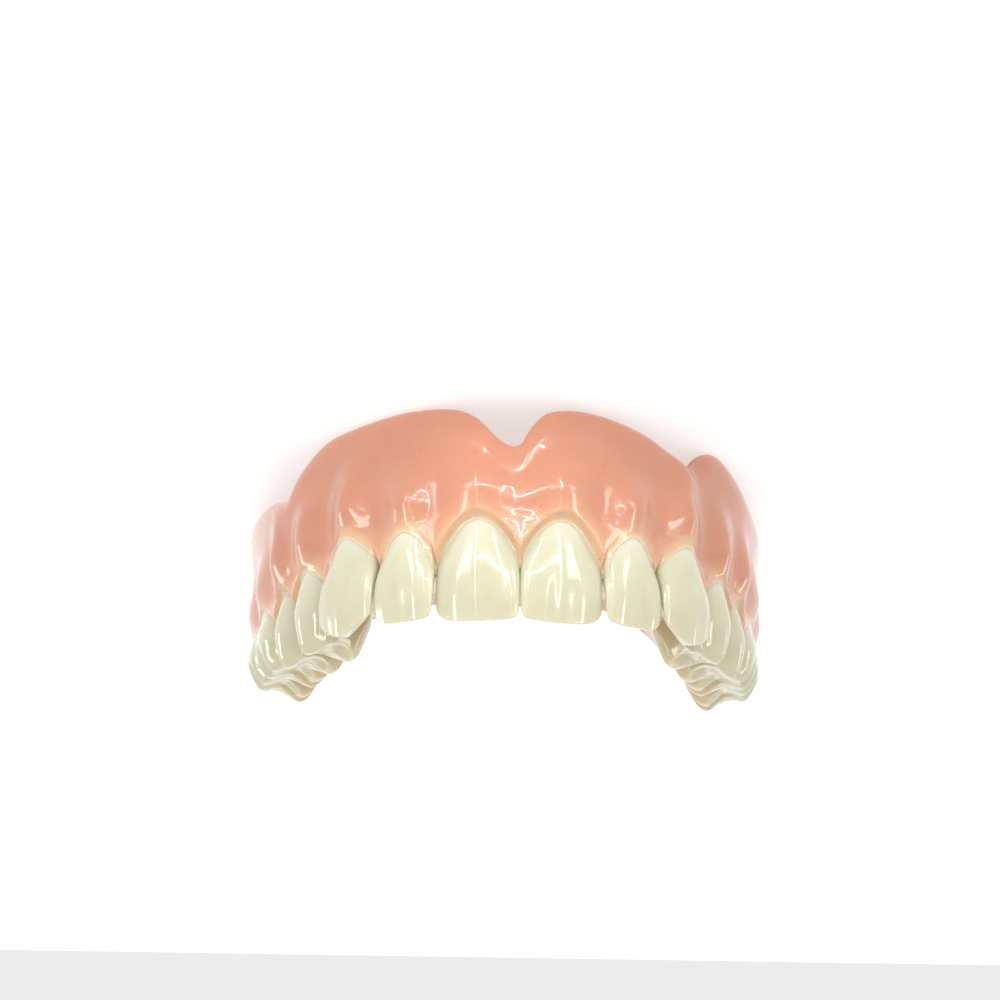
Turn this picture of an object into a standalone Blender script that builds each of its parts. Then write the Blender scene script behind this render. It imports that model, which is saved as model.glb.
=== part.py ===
"""Full upper denture: a moulded pink acrylic base and fourteen acrylic teeth set in its sockets.

It lies teeth up on the borders of its flanges. +Z points from the base to the biting edges, -Y is
the front, and the wearer's right side is at +X. Sizes are in metres.
"""

import math
from dataclasses import dataclass

import bmesh
import bpy
from mathutils import Vector

# The line of the biting edges seen from above is y = a * x^2 + b * x^6, through these two places
CANINE_HALF_SPAN = 0.0175
CANINE_SETBACK = 0.0074
MOLAR_HALF_SPAN = 0.0314
MOLAR_SETBACK = 0.0358
ARCH_SAMPLES = 1200

# Gaps between neighbouring teeth at the line, and round each tooth in its socket
CONTACT_GAP = 0.0003
SEAT_GAP = 0.0003

# Depth of the flanges' border below the biting plane, against the length along the arch from the
# middle, which is negative on the left side. It leaves notches for the folds of the lip and cheeks.
BORDER = ((-0.0614, 0.0184), (-0.0590, 0.0209), (-0.0560, 0.0239), (-0.0530, 0.02465),
          (-0.0495, 0.0241), (-0.0440, 0.0231), (-0.0380, 0.0224), (-0.0330, 0.0229),
          (-0.0295, 0.0239), (-0.0265, 0.02465), (-0.0245, 0.0240), (-0.0228, 0.0222),
          (-0.0213, 0.0210), (-0.0195, 0.0213), (-0.0175, 0.0222), (-0.0155, 0.0229),
          (-0.0110, 0.0236), (-0.0070, 0.0239), (-0.0045, 0.0237), (-0.0025, 0.0230),
          (-0.0010, 0.0213), (0.0, 0.0196), (0.0010, 0.0193), (0.0020, 0.0197),
          (0.0030, 0.0207), (0.0045, 0.0224), (0.0065, 0.0236), (0.0095, 0.0242),
          (0.0140, 0.02455), (0.0200, 0.02455), (0.0235, 0.0243), (0.0260, 0.0233),
          (0.0285, 0.0217), (0.0305, 0.0200), (0.0325, 0.0196), (0.0360, 0.0208),
          (0.0400, 0.0220), (0.0450, 0.0230), (0.0495, 0.0241), (0.0530, 0.02465),
          (0.0560, 0.0239), (0.0590, 0.0209), (0.0614, 0.0184))

# Depths below the biting plane of the gum between the teeth and behind them
PAPILLA_DEPTH_FRONT = 0.0052
PAPILLA_DEPTH_BACK = 0.0047
MARGIN_DEPTH_FRONT = 0.0062
MARGIN_DEPTH_BACK = 0.0071

# Band of gum that holds the teeth
PAPILLA_THICKNESS = 0.0026
PAPILLA_FALL = 0.0003
GUM_COLLAR = 0.0011
LINGUAL_ROUNDING = 0.0022

# Palate plate: where its middle line starts behind the front edge, how far it runs past the ends
# of the arch, how deep it lies under the gum behind the teeth, and how steeply it falls there
PLATE_THICKNESS = 0.0020
VAULT_START = 0.0180
VAULT_OVERRUN = 0.0022
VAULT_DROP_START = 0.0080
VAULT_DROP_MIDDLE = 0.0100
VAULT_DROP_END = 0.0102
PALATE_BEND_FRONT = 2.2
PALATE_BEND_BACK = 3.4
SEAL_BEAD = 0.0005

# Groove for the wearer's ridge: depth of its top, and how far in from the line that is
RIDGE_DEPTH_FRONT = 0.0146
RIDGE_DEPTH_BACK = 0.0122
RIDGE_INSET = 0.0052
RIDGE_INSET_END = 0.0085
TROUGH_ROUNDING = 0.0024

# Tail of the base behind the last teeth
BASE_TAIL = 0.0052
TAIL_LIP = 0.0010
MARGIN_RISE = 0.0004

# Flanges
BORDER_THICKNESS = 0.0030
FLANGE_THICKNESS = 0.0028
BORDER_OUTSET_FRONT = 0.0016
BORDER_OUTSET_BACK = 0.0036
BORDER_OUTSET_END = -0.0032
ROOT_SWELL = 0.00035
ROLL_RISE = 0.6

MERGE_DISTANCE = 0.00001

PINK = (0.74, 0.33, 0.27, 1.0)
IVORY = (0.80, 0.77, 0.60, 1.0)


@dataclass
class Tooth:
    """One tooth of the right side. The crown runs from the edge to the gum line on its face."""

    name: str
    width: float
    crown: float
    seat: float
    cusp_rows: int = 0
    tip_drop: float = 0.0
    face_drop: float = 0.0
    outset: float = 0.0
    sink: float = 0.0
    breadth: float = 1.0


TEETH = (
    Tooth("central_incisor", width=0.0087, crown=0.0107, seat=0.0018, outset=-0.0003),
    Tooth("lateral_incisor", width=0.0068, crown=0.0096, seat=0.0022, outset=0.0004,
          sink=0.0003, breadth=0.90),
    Tooth("canine", width=0.0079, crown=0.0109, seat=0.0016, tip_drop=0.0013, outset=0.0009,
          sink=-0.0003, breadth=1.08),
    Tooth("first_premolar", width=0.0070, crown=0.0091, seat=0.0013, cusp_rows=1,
          outset=-0.0002, sink=-0.0002, breadth=0.92),
    Tooth("second_premolar", width=0.0068, crown=0.0086, seat=0.0015, cusp_rows=1,
          outset=-0.0005, sink=-0.0002, breadth=0.94),
    Tooth("first_molar", width=0.0098, crown=0.0078, seat=0.0020, cusp_rows=2,
          face_drop=0.0003, sink=0.0002, breadth=1.08),
    Tooth("second_molar", width=0.0092, crown=0.0075, seat=0.0022, cusp_rows=2,
          face_drop=0.0007, sink=0.0002, breadth=1.04),
)

# Rows of faces across the width, from lip to tongue and from edge to root end
FRONT_GRID = (6, 4, 6)
BACK_GRID = (6, 6, 4)

# Share of the half width against the height, where 0 is the edge and 1 the gum line
FRONT_WIDTHS = ((0.0, 0.95), (0.12, 0.99), (0.28, 1.0), (0.5, 0.945), (0.75, 0.85),
                (1.0, 0.70), (1.2, 0.55))
BACK_WIDTHS = ((0.0, 0.88), (0.2, 0.985), (0.38, 1.0), (0.6, 0.945), (1.0, 0.82), (1.25, 0.72))

# Face of a tooth, measured out from the line, against the same heights
FRONT_NECK_OUTSET = 0.0005
BACK_NECK_OUTSET = 0.0012
FRONT_FACE = ((0.0, 0.00035), (0.25, 0.00085), (0.5, 0.0011), (0.8, 0.00095),
              (1.0, FRONT_NECK_OUTSET), (1.2, -0.0006))
BACK_FACE = ((0.0, 0.0009), (0.25, 0.0015), (0.45, 0.0018), (0.75, 0.0016),
             (1.0, BACK_NECK_OUTSET), (1.25, 0.0002))

# How far the back of a tooth lies inside the line, and its share against the same heights
FRONT_TOOTH_INSET = 0.0062
BACK_TOOTH_INSET = 0.0078
FRONT_BACK = ((0.0, 0.15), (0.25, 0.35), (0.45, 0.55), (0.62, 0.81), (0.8, 0.97), (1.0, 1.0),
              (1.2, 0.87))
BACK_BACK = ((0.0, 0.81), (0.25, 0.92), (0.5, 1.0), (0.8, 0.95), (1.25, 0.79))

# How round the section's corners are on the face at the edge and elsewhere, how far out the
# section is widest, from back -1 to face 1, and how it narrows inward from there
EDGE_ROUNDNESS = 0.55
ROUNDNESS = 0.95
WIDEST_PLACE = 0.3
INWARD_TAPER = 0.14

MESIAL_CORNER = 0.0004
DISTAL_CORNER = 0.0009
EDGE_BEVEL = 0.0003

CUSP_PLACE = 2 / 3
COLUMN_SPREAD = 0.74
GROOVE_DEPTH = 0.0014
CUSP_SHOULDER = 0.0009
CUSP_VALLEY = 0.0007
RIM_RISE = 0.55

# Outer face of the gum below the gum line, against the share of the way to the border
FRONT_FLANGE = ((0.0, FRONT_NECK_OUTSET), (0.12, 0.0009), (0.35, 0.0011), (0.6, 0.0009),
                (0.85, 0.0013), (1.0, BORDER_OUTSET_FRONT))
BACK_FLANGE = ((0.0, BACK_NECK_OUTSET), (0.12, 0.0017), (0.35, 0.0021), (0.6, 0.0025),
               (0.85, 0.0032), (1.0, BORDER_OUTSET_BACK))


def clamp(value):
    """The value, kept from 0 to 1."""
    return min(1.0, max(0.0, value))


def ease(value):
    """Smooth step from 0 to 1."""
    share = clamp(value)
    return share * share * (3 - 2 * share)


def mix(start, end, share):
    """Value that lies the given share of the way from start to end."""
    return start + (end - start) * share


def bump(distance, reach):
    """1 at no distance, falling smoothly to 0 at the reach."""
    return math.cos(0.5 * math.pi * clamp(abs(distance) / reach)) ** 2


def soft_min(first, second, blend):
    """The lower of two values, with the corner between them rounded."""
    return 0.5 * (first + second - math.hypot(first - second, blend))


def smooth_curve(knots, place):
    """Read a smooth curve through (place, value) knots."""
    place = min(max(place, knots[0][0]), knots[-1][0])
    last = len(knots) - 1
    index = max(i for i in range(last) if knots[i][0] <= place)

    def slope(i):
        low, high = knots[max(i - 1, 0)], knots[min(i + 1, last)]
        return (high[1] - low[1]) / (high[0] - low[0])

    (start, low), (end, high) = knots[index], knots[index + 1]
    span = end - start
    share = (place - start) / span
    pull_low = slope(index) * span * share * (1 - share) ** 2
    pull_high = slope(index + 1) * span * (share - 1) * share ** 2
    return mix(low, high, ease(share)) + pull_low + pull_high


class Arch:
    """The line of the biting edges on the right side, measured by its length from the middle."""

    def __init__(self):
        near = CANINE_SETBACK / CANINE_HALF_SPAN ** 2
        far = MOLAR_SETBACK / MOLAR_HALF_SPAN ** 2
        self.tail = (far - near) / (MOLAR_HALF_SPAN ** 4 - CANINE_HALF_SPAN ** 4)
        self.curve = near - self.tail * CANINE_HALF_SPAN ** 4
        self.places = [0.0]
        self.step = 1.25 * MOLAR_HALF_SPAN / ARCH_SAMPLES
        for index in range(ARCH_SAMPLES):
            slope = self.slope((index + 0.5) * self.step)
            self.places.append(self.places[-1] + self.step * math.hypot(1, slope))

    def slope(self, x):
        """dy/dx of the line at a half span."""
        return 2 * self.curve * x + 6 * self.tail * x ** 5

    def at(self, place):
        """Point on the line, and the unit vector out of the mouth there."""
        index = next(i for i in range(ARCH_SAMPLES) if self.places[i + 1] >= place)
        share = (place - self.places[index]) / (self.places[index + 1] - self.places[index])
        x = (index + share) * self.step
        slope = self.slope(x)
        point = Vector((x, self.curve * x ** 2 + self.tail * x ** 6, 0))
        out = Vector((slope, -1, 0)).normalized()
        return point, out

    def point(self, place, outset, height):
        """Point that stands outset from the line and at a height over the biting plane."""
        point, out = self.at(place)
        return point + out * outset + Vector((0, 0, height))


def tooth_place(index):
    """Length along the arch from the middle to the centre of a tooth."""
    before = sum(tooth.width for tooth in TEETH[:index])
    return before + TEETH[index].width / 2


def arch_length():
    """Length along the arch from the middle to the back of the last tooth."""
    return sum(tooth.width for tooth in TEETH)


def front_top(tooth, across, over):
    """Height of a front tooth's edge: rounded corners, a canine's tip, and a bevel inward."""
    corner = DISTAL_CORNER if across > 0 else MESIAL_CORNER
    return -(corner * across ** 4 + tooth.tip_drop * abs(across) + EDGE_BEVEL * (1 - over) / 2)


def back_top(tooth, across, over):
    """Height of a back tooth's chewing face: cusps, a middle groove and rims at its ends."""
    shorter = tooth.face_drop * (1 + over) / 2
    inward = clamp(1 - abs(over) / CUSP_PLACE)
    outward = clamp((abs(over) - CUSP_PLACE) / (1 - CUSP_PLACE))
    from_cusp = abs(across) if tooth.cusp_rows == 1 else abs(3 * abs(across) - 1) / 2
    groove = GROOVE_DEPTH * inward * (1 - RIM_RISE * across ** 4)
    return -(groove + shorter + CUSP_SHOULDER * outward + CUSP_VALLEY * from_cusp ** 1.5)


def rounded_square(across, over, level):
    """Move a point of the square -1..1 to a tooth's section, which is widest near its face."""
    reach = 1 - WIDEST_PLACE if over > WIDEST_PLACE else 1 + WIDEST_PLACE
    from_widest = (over - WIDEST_PLACE) / reach
    facing = mix(EDGE_ROUNDNESS, ROUNDNESS, ease(level))
    roundness = facing if over > WIDEST_PLACE else ROUNDNESS
    taper = 1 - INWARD_TAPER * max(0.0, -from_widest)
    rounder_x = across * taper * (1 - roundness * (1 - math.sqrt(1 - from_widest ** 2 / 2)))
    rounder_y = over * (1 - roundness * (1 - math.sqrt(1 - across ** 2 / 2)))
    return rounder_x, rounder_y


def tooth_point(arch, index, corner):
    """Turn a point of the cube -1..1 into the matching point of a tooth."""
    tooth = TEETH[index]
    front = tooth.cusp_rows == 0
    share = ((1 - corner.z) / 2) ** 1.15
    total = tooth.crown + tooth.seat
    level = share * total / tooth.crown
    across, over = rounded_square(corner.x, corner.y, level)
    widths = FRONT_WIDTHS if front else BACK_WIDTHS
    half = (tooth.width - CONTACT_GAP) / 2 * smooth_curve(widths, level)
    face = smooth_curve(FRONT_FACE if front else BACK_FACE, level)
    inset = FRONT_TOOTH_INSET if front else BACK_TOOTH_INSET
    back = -inset * tooth.breadth * smooth_curve(FRONT_BACK if front else BACK_BACK, level)
    top = front_top if front else back_top
    height = top(tooth, corner.x, corner.y) * (1 - share) - share * total - tooth.sink
    spread = COLUMN_SPREAD if tooth.cusp_rows == 2 else 1.0
    along = half * math.copysign(abs(across) ** spread, across)
    out = mix(back, face, (1 + over) / 2) + tooth.outset
    return arch.point(tooth_place(index) + along, out, height)


def grid_cube(counts):
    """Cube from -1 to 1 with its sides cut into a grid."""
    shape = bmesh.new()
    bmesh.ops.create_cube(shape, size=2)
    for axis, count in enumerate(counts):
        edges = [e for e in shape.edges
                 if abs(e.verts[0].co[axis] - e.verts[1].co[axis]) > 1]
        bmesh.ops.subdivide_edges(shape, edges=edges, cuts=count - 1, use_grid_fill=True)
    return shape


def tooth_mesh(arch, index, side, growth=0.0):
    """Mesh of a tooth on the right side (1) or the left (-1), grown by a clearance."""
    tooth = TEETH[index]
    shape = grid_cube(BACK_GRID if tooth.cusp_rows else FRONT_GRID)
    for vert in shape.verts:
        vert.co = tooth_point(arch, index, vert.co.copy())
        vert.co.x *= side
    if side > 0:
        bmesh.ops.reverse_faces(shape, faces=shape.faces)
    shape.normal_update()
    if growth:
        moves = [vert.normal * vert.calc_shell_factor() * growth for vert in shape.verts]
        for vert, move in zip(shape.verts, moves):
            vert.co += move
    mesh = bpy.data.meshes.new(tooth.name)
    shape.to_mesh(mesh)
    shape.free()
    return mesh


def over_centres(values, place):
    """Smooth value at a place, from one value at the centre of each tooth."""
    return smooth_curve([(tooth_place(i), value) for i, value in enumerate(values)], place)


def gum_line(place):
    """Depth of the gum line below the biting plane."""
    return over_centres([tooth.crown + tooth.sink for tooth in TEETH], place)


def tooth_wave(place):
    """1 at the middle of each tooth and -1 between two teeth."""
    for index, tooth in enumerate(TEETH):
        offset = place - tooth_place(index)
        if abs(offset) <= tooth.width / 2:
            return math.cos(2 * math.pi * offset / tooth.width)
    return -1.0


def flange_outset(place, share):
    """How far the gum's outer face stands out from the arch, from gum line 0 to border 1."""
    length = arch_length()
    backward = ease((place - 0.3 * length) / (0.3 * length))
    outset = mix(smooth_curve(FRONT_FLANGE, share), smooth_curve(BACK_FLANGE, share), backward)
    ending = ease((place - 0.9 * length) / (0.1 * length + BASE_TAIL))
    outset = mix(outset, BORDER_OUTSET_END, ending ** 2)
    swell = ROOT_SWELL * tooth_wave(place) * math.sin(math.pi * clamp(share / 0.8))
    return outset + swell


class Section:
    """Cross-section of one half of the base. Stations are places, negative on the left side."""

    def __init__(self, arch, station):
        self.arch = arch
        self.side = math.copysign(1, station)
        self.place = place = abs(station)
        length = arch_length()
        tail_end = length + BASE_TAIL
        self.along = place / tail_end
        self.backward = ease((place - 0.25 * length) / (0.35 * length))
        self.ending = ease((place - length) / BASE_TAIL)
        self.border = smooth_curve(BORDER, station)
        self.set_gum(smooth_curve(BORDER, tail_end) - TAIL_LIP)
        self.set_spine(arch.point(tail_end, 0, 0).y)
        self.roll = min(BORDER_THICKNESS, 0.6 * (self.border - self.gum))

    def set_gum(self, ridge_end):
        """Depths of the gum's edges, of the band under the teeth and of the ridge's top."""
        line = gum_line(self.place)
        plate_end = ridge_end - PLATE_THICKNESS
        papilla = mix(PAPILLA_DEPTH_FRONT, PAPILLA_DEPTH_BACK, self.backward)
        margin = mix(MARGIN_DEPTH_FRONT, MARGIN_DEPTH_BACK, self.backward)
        ridge = mix(RIDGE_DEPTH_FRONT, RIDGE_DEPTH_BACK, self.backward)
        inset = mix(FRONT_TOOTH_INSET, BACK_TOOTH_INSET, self.backward)
        self.gum = mix(line, plate_end + MARGIN_RISE, self.ending)
        self.crest = mix(papilla, plate_end - MARGIN_RISE, self.ending)
        self.margin = mix(margin, plate_end, self.ending)
        self.margin_inset = inset + GUM_COLLAR
        self.ridge = mix(ridge, ridge_end, self.ending)
        self.ridge_inset = mix(RIDGE_INSET, RIDGE_INSET_END, self.ending)

    def set_spine(self, arch_end):
        """Where the section meets the middle plane, and how deep the palate lies there."""
        spine_y = mix(VAULT_START, arch_end + VAULT_OVERRUN, self.along ** 1.5)
        self.spine = Vector((0, spine_y, 0))
        drop = mix(VAULT_DROP_START, VAULT_DROP_MIDDLE, ease(self.along / 0.6))
        drop = mix(drop, VAULT_DROP_END, ease((self.along - 0.6) / 0.4))
        self.vault = mix(MARGIN_DEPTH_FRONT, MARGIN_DEPTH_BACK, self.backward) + drop

    def palate(self, share):
        """Point of the polished palate, from the gum behind the teeth 0 to the middle 1."""
        start = self.arch.point(self.place, -self.margin_inset, 0)
        point = start.lerp(self.spine, share)
        point.z = -self.palate_depth(share)
        return point

    def palate_depth(self, share):
        """Depth of the polished palate below the biting plane."""
        bend = mix(PALATE_BEND_FRONT, PALATE_BEND_BACK, self.backward)
        return mix(self.margin, self.vault, 1 - (1 - clamp(share)) ** bend)

    def ridge_side(self, share):
        """Point of the tissue side from the top of the ridge 0 to the middle of the palate 1."""
        start = self.arch.point(self.place, -self.ridge_inset, 0)
        edge = self.arch.point(self.place, -self.margin_inset, 0)
        point = start.lerp(self.spine, share)
        polished = 1 - (point - self.spine).length / (edge - self.spine).length
        seal = SEAL_BEAD * bump(self.along - 0.94, 0.06) * ease(share / 0.5)
        plate = -self.palate_depth(polished) - PLATE_THICKNESS - seal
        point.z = soft_min(-self.ridge, plate, PLATE_THICKNESS / 2)
        return point

    def flange(self, share, inset=0.0):
        """Point of the outer face from the gum line 0 to the border 1, or inset from it."""
        outset = flange_outset(self.place, share) - inset
        return self.arch.point(self.place, outset, -mix(self.gum, self.border, share))

    def under_teeth(self):
        """Points of the band that carries the teeth, from the tongue's side outward."""
        inset = self.margin_inset
        top = -self.crest
        face = flange_outset(self.place, 0)
        band = ((0.36 * LINGUAL_ROUNDING - inset, mix(-self.margin, top, 0.6)),
                (LINGUAL_ROUNDING - inset, top),
                (face - PAPILLA_THICKNESS, top),
                (face - 0.4 * PAPILLA_THICKNESS, top - PAPILLA_FALL),
                (face - 0.15 * PAPILLA_THICKNESS, mix(top, -self.gum, 0.5)))
        return [self.arch.point(self.place, out, height) for out, height in band]

    def border_roll(self):
        """Points round the border, from the outer face to the tissue side."""
        outset = flange_outset(self.place, 1)
        roll = ((0.10, 0.22), (0.45, 0.0), (0.80, 0.16), (1.0, ROLL_RISE))
        return [self.arch.point(self.place, outset - inward * BORDER_THICKNESS,
                                upward * self.roll - self.border)
                for inward, upward in roll]

    def trough(self):
        """Points of the groove that takes the ridge, from the border to the ridge's top."""
        height = self.border - self.gum
        roll_end = 1 - ROLL_RISE * self.roll / height
        room = self.border - ROLL_RISE * self.roll - self.ridge
        rise = min(TROUGH_ROUNDING, 0.6 * room)
        deep = (self.ridge + rise - self.gum) / height
        points = [self.flange(mix(deep, roll_end, 0.45), FLANGE_THICKNESS),
                  self.flange(deep, FLANGE_THICKNESS)]
        shoulder = flange_outset(self.place, deep) - 1.5 * FLANGE_THICKNESS
        points.append(self.arch.point(self.place, shoulder, -self.ridge - rise / 4))
        return points

    def points(self):
        """The whole section, from the polished middle of the palate round to its tissue side."""
        polished = [self.palate(share) for share in (1, 0.8, 0.6, 0.42, 0.26, 0.12, 0)]
        face = [self.flange(share) for share in (0, 0.1, 0.3, 0.55, 0.8)]
        tissue = [self.ridge_side(share) for share in (0, 0.16, 0.32, 0.5, 0.75, 1)]
        points = (polished + self.under_teeth() + face + self.border_roll() + self.trough()
                  + tissue)
        return [Vector((point.x * self.side, point.y, point.z)) for point in points]


def stations():
    """Stations of the sections: on the lip's notch, four for each tooth, and on the tails."""
    places = [TEETH[0].width * share for share in (0.11, 0.22, 0.34, 0.46, 0.6, 0.78, 1)]
    start = TEETH[0].width
    for tooth in TEETH[1:]:
        places += [start + tooth.width * quarter / 4 for quarter in (1, 2, 3, 4)]
        start += tooth.width
    places += [start + BASE_TAIL * share for share in (0.3, 0.6, 0.85, 1)]
    return [-place for place in reversed(places)] + [0.0] + places


def base_mesh(arch):
    """The base, lofted through its sections from the left end to the right one."""
    shape = bmesh.new()
    rows = [[shape.verts.new(point) for point in Section(arch, station).points()]
            for station in stations()]
    for row, following in zip(rows, rows[1:]):
        for index in range(len(row) - 1):
            shape.faces.new((row[index], row[index + 1], following[index + 1],
                             following[index]))
    for ending in (rows[0][::-1], rows[-1]):
        for index in range(len(ending) // 2 - 1):
            shape.faces.new((ending[index], ending[index + 1], ending[-2 - index],
                             ending[-1 - index]))
    bmesh.ops.remove_doubles(shape, verts=shape.verts, dist=MERGE_DISTANCE)
    mesh = bpy.data.meshes.new("denture_base")
    shape.to_mesh(mesh)
    shape.free()
    return mesh


def plain_material(name, colour, roughness):
    """Principled material with a colour and a roughness."""
    material = bpy.data.materials.new(name)
    material.use_nodes = True
    shader = material.node_tree.nodes["Principled BSDF"]
    shader.inputs["Base Color"].default_value = colour
    shader.inputs["Roughness"].default_value = roughness
    return material


def new_collection(name):
    """Collection linked to the scene."""
    collection = bpy.data.collections.new(name)
    bpy.context.scene.collection.children.link(collection)
    return collection


def add_object(name, mesh, collection, holder, material=None):
    """Object for a mesh, shaded smooth apart from its sharp edges."""
    mesh.shade_smooth()
    mesh.set_sharp_from_angle(angle=math.radians(40))
    obj = bpy.data.objects.new(name, mesh)
    collection.objects.link(obj)
    obj.parent = holder
    if material:
        mesh.materials.append(material)
    return obj


def add_teeth(arch, parts, holder):
    """The seven teeth of each side, each an object of its own."""
    for index, tooth in enumerate(TEETH):
        for side, ending in ((1, "right"), (-1, "left")):
            name = f"{tooth.name}_{ending}"
            ivory = plain_material(name, IVORY, 0.25)
            add_object(name, tooth_mesh(arch, index, side), parts, holder, ivory)


def add_sockets(arch, base, cutters, holder):
    """Cut a socket for each tooth, larger than the tooth by its clearance all round."""
    for index, tooth in enumerate(TEETH):
        for side, ending in ((1, "right"), (-1, "left")):
            mesh = tooth_mesh(arch, index, side, SEAT_GAP)
            cutter = add_object(f"socket_{tooth.name}_{ending}", mesh, cutters, holder)
            cutter.hide_render = True
            cutter.display_type = "WIRE"
            cut = base.modifiers.new(cutter.name, "BOOLEAN")
            cut.operation = "DIFFERENCE"
            cut.solver = "EXACT"
            cut.object = cutter


def add_base(arch, parts, cutters, holder):
    """The pink base, cut by the sockets."""
    pink = plain_material("denture_base", PINK, 0.3)
    base = add_object("denture_base", base_mesh(arch), parts, holder, pink)
    add_sockets(arch, base, cutters, holder)
    return base


def stand_on_borders(base, holder):
    """Place the holder so that the origin is below the middle of the base, at its border."""
    bpy.context.view_layer.update()
    graph = bpy.context.evaluated_depsgraph_get()
    corners = [Vector(corner) for corner in base.evaluated_get(graph).bound_box]
    front = min(corner.y for corner in corners)
    behind = max(corner.y for corner in corners)
    lowest = min(corner.z for corner in corners)
    holder.location = (0, -(front + behind) / 2, -lowest)


def build():
    """Make the denture."""
    for obj in list(bpy.data.objects):
        bpy.data.objects.remove(obj)
    parts = new_collection("full_denture")
    cutters = new_collection("cutters")
    holder = bpy.data.objects.new("arch_centre", None)
    parts.objects.link(holder)
    arch = Arch()
    base = add_base(arch, parts, cutters, holder)
    add_teeth(arch, parts, holder)
    stand_on_borders(base, holder)


build()
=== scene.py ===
"""Full upper denture: the looks of its polished gum-coloured base and its fourteen acrylic teeth.

The denture lies teeth up on the borders of its flanges, with its front towards -Y. Sizes are in
metres. The arch line and the profiles repeat the values that the solids were made from.
"""

import math
from dataclasses import dataclass

import bpy
import numpy as np
from mathutils import Matrix, Vector


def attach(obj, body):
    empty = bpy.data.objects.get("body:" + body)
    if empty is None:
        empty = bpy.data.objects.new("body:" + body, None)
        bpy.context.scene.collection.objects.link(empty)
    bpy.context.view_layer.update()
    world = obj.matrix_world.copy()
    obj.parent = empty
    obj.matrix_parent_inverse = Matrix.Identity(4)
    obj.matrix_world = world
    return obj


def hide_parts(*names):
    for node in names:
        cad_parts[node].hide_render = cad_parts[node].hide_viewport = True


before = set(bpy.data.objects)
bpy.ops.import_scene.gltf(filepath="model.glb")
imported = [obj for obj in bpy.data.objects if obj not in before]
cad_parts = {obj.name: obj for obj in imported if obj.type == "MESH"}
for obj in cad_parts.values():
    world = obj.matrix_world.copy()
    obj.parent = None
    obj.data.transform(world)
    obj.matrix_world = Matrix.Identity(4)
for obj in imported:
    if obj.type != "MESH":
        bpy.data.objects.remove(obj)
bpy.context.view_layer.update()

# Where the middle of the biting edges lies in the frame
ARCH_CENTRE = np.array((0.0, -0.02318, 0.02462))

# The line of the biting edges seen from above runs through these two places
CANINE_HALF_SPAN = 0.0175
CANINE_SETBACK = 0.0074
MOLAR_HALF_SPAN = 0.0314
MOLAR_SETBACK = 0.0358
ARCH_OVERRUN = 1.25
ARCH_STEPS = 2401

# Depth of the flanges' border, against the length along the arch, negative on the left side
BORDER = ((-0.0614, 0.0184), (-0.0590, 0.0209), (-0.0560, 0.0239), (-0.0530, 0.02465),
          (-0.0495, 0.0241), (-0.0440, 0.0231), (-0.0380, 0.0224), (-0.0330, 0.0229),
          (-0.0295, 0.0239), (-0.0265, 0.02465), (-0.0245, 0.0240), (-0.0228, 0.0222),
          (-0.0213, 0.0210), (-0.0195, 0.0213), (-0.0175, 0.0222), (-0.0155, 0.0229),
          (-0.0110, 0.0236), (-0.0070, 0.0239), (-0.0045, 0.0237), (-0.0025, 0.0230),
          (-0.0010, 0.0213), (0.0, 0.0196), (0.0010, 0.0193), (0.0020, 0.0197),
          (0.0030, 0.0207), (0.0045, 0.0224), (0.0065, 0.0236), (0.0095, 0.0242),
          (0.0140, 0.02455), (0.0200, 0.02455), (0.0235, 0.0243), (0.0260, 0.0233),
          (0.0285, 0.0217), (0.0305, 0.0200), (0.0325, 0.0196), (0.0360, 0.0208),
          (0.0400, 0.0220), (0.0450, 0.0230), (0.0495, 0.0241), (0.0530, 0.02465),
          (0.0560, 0.0239), (0.0590, 0.0209), (0.0614, 0.0184))

# Pairs hold a value at the front of the mouth and one at the back
PAPILLA_DEPTH = (0.0052, 0.0047)
MARGIN_DEPTH = (0.0062, 0.0071)
RIDGE_DEPTH = (0.0146, 0.0122)
TOOTH_INSET = (0.0062, 0.0078)
RIDGE_INSET = (0.0052, 0.0085)
PALATE_BEND = (2.2, 3.4)

# How far the vault lies below the margin at the front, at VAULT_TURN of the arch and at the back
VAULT_DROP = (0.0080, 0.0100, 0.0102)
VAULT_TURN = 0.6
VAULT_START = 0.0180
VAULT_OVERRUN = 0.0022
PLATE_THICKNESS = 0.0020
# The bead that seals the plate, with its place and half width as shares of the arch
SEAL_BEAD = 0.0005
SEAL_PLACE = 0.94
SEAL_REACH = 0.06

# The gum behind the teeth, and the band under them
GUM_COLLAR = 0.0011
LINGUAL_ROUNDING = 0.0022
PAPILLA_WAVE = 0.0004
BAND_INSET = 0.0016
CREST_FALL = 0.0006

# The tail behind the last tooth
BASE_TAIL = 0.0052
TAIL_LIP = 0.0010
TAIL_ROUNDING = 0.0004
BORDER_OUTSET_END = -0.0032

# The rolled border, and the trough inside it. The roll takes a share of the flange's depth
BORDER_THICKNESS = 0.0030
ROLL_SHARE = 0.6
ROLL_RISE = 0.6
ROLL_BULGE = 0.0002
TROUGH_ROUNDING = 0.0024

# The arch of a gum margin has this power, 2 for an ellipse, and finer rows follow it for a while
ARCH_POWER = 1.75
HALO_DEPTH = 0.0030
# Depth of the shoulders of a gum margin, as a share of its deepest place, at the front and back
SHOULDER_SHARES = (0.44, 0.50)
# Width of a swelling over a root, as a share of its tooth, and the hollows between the roots
SWELL_SHARE = 0.26
HOLLOW_DEPTH = 0.00045
HOLLOW_WIDTH = 0.0017
# Height, distance from the margin and half width of the rolled gum, and of the groove beside it
MARGIN_ROLL = (0.00008, 0.0008, 0.0009)
MARGIN_GROOVE = (0.00007, 0.0025, 0.0014)

# Distance from the crowns beyond which the gum has its full colour
COVER_REACH = 0.004
# Outset that stands for no crown at a place
NO_CROWN = -0.01
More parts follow.
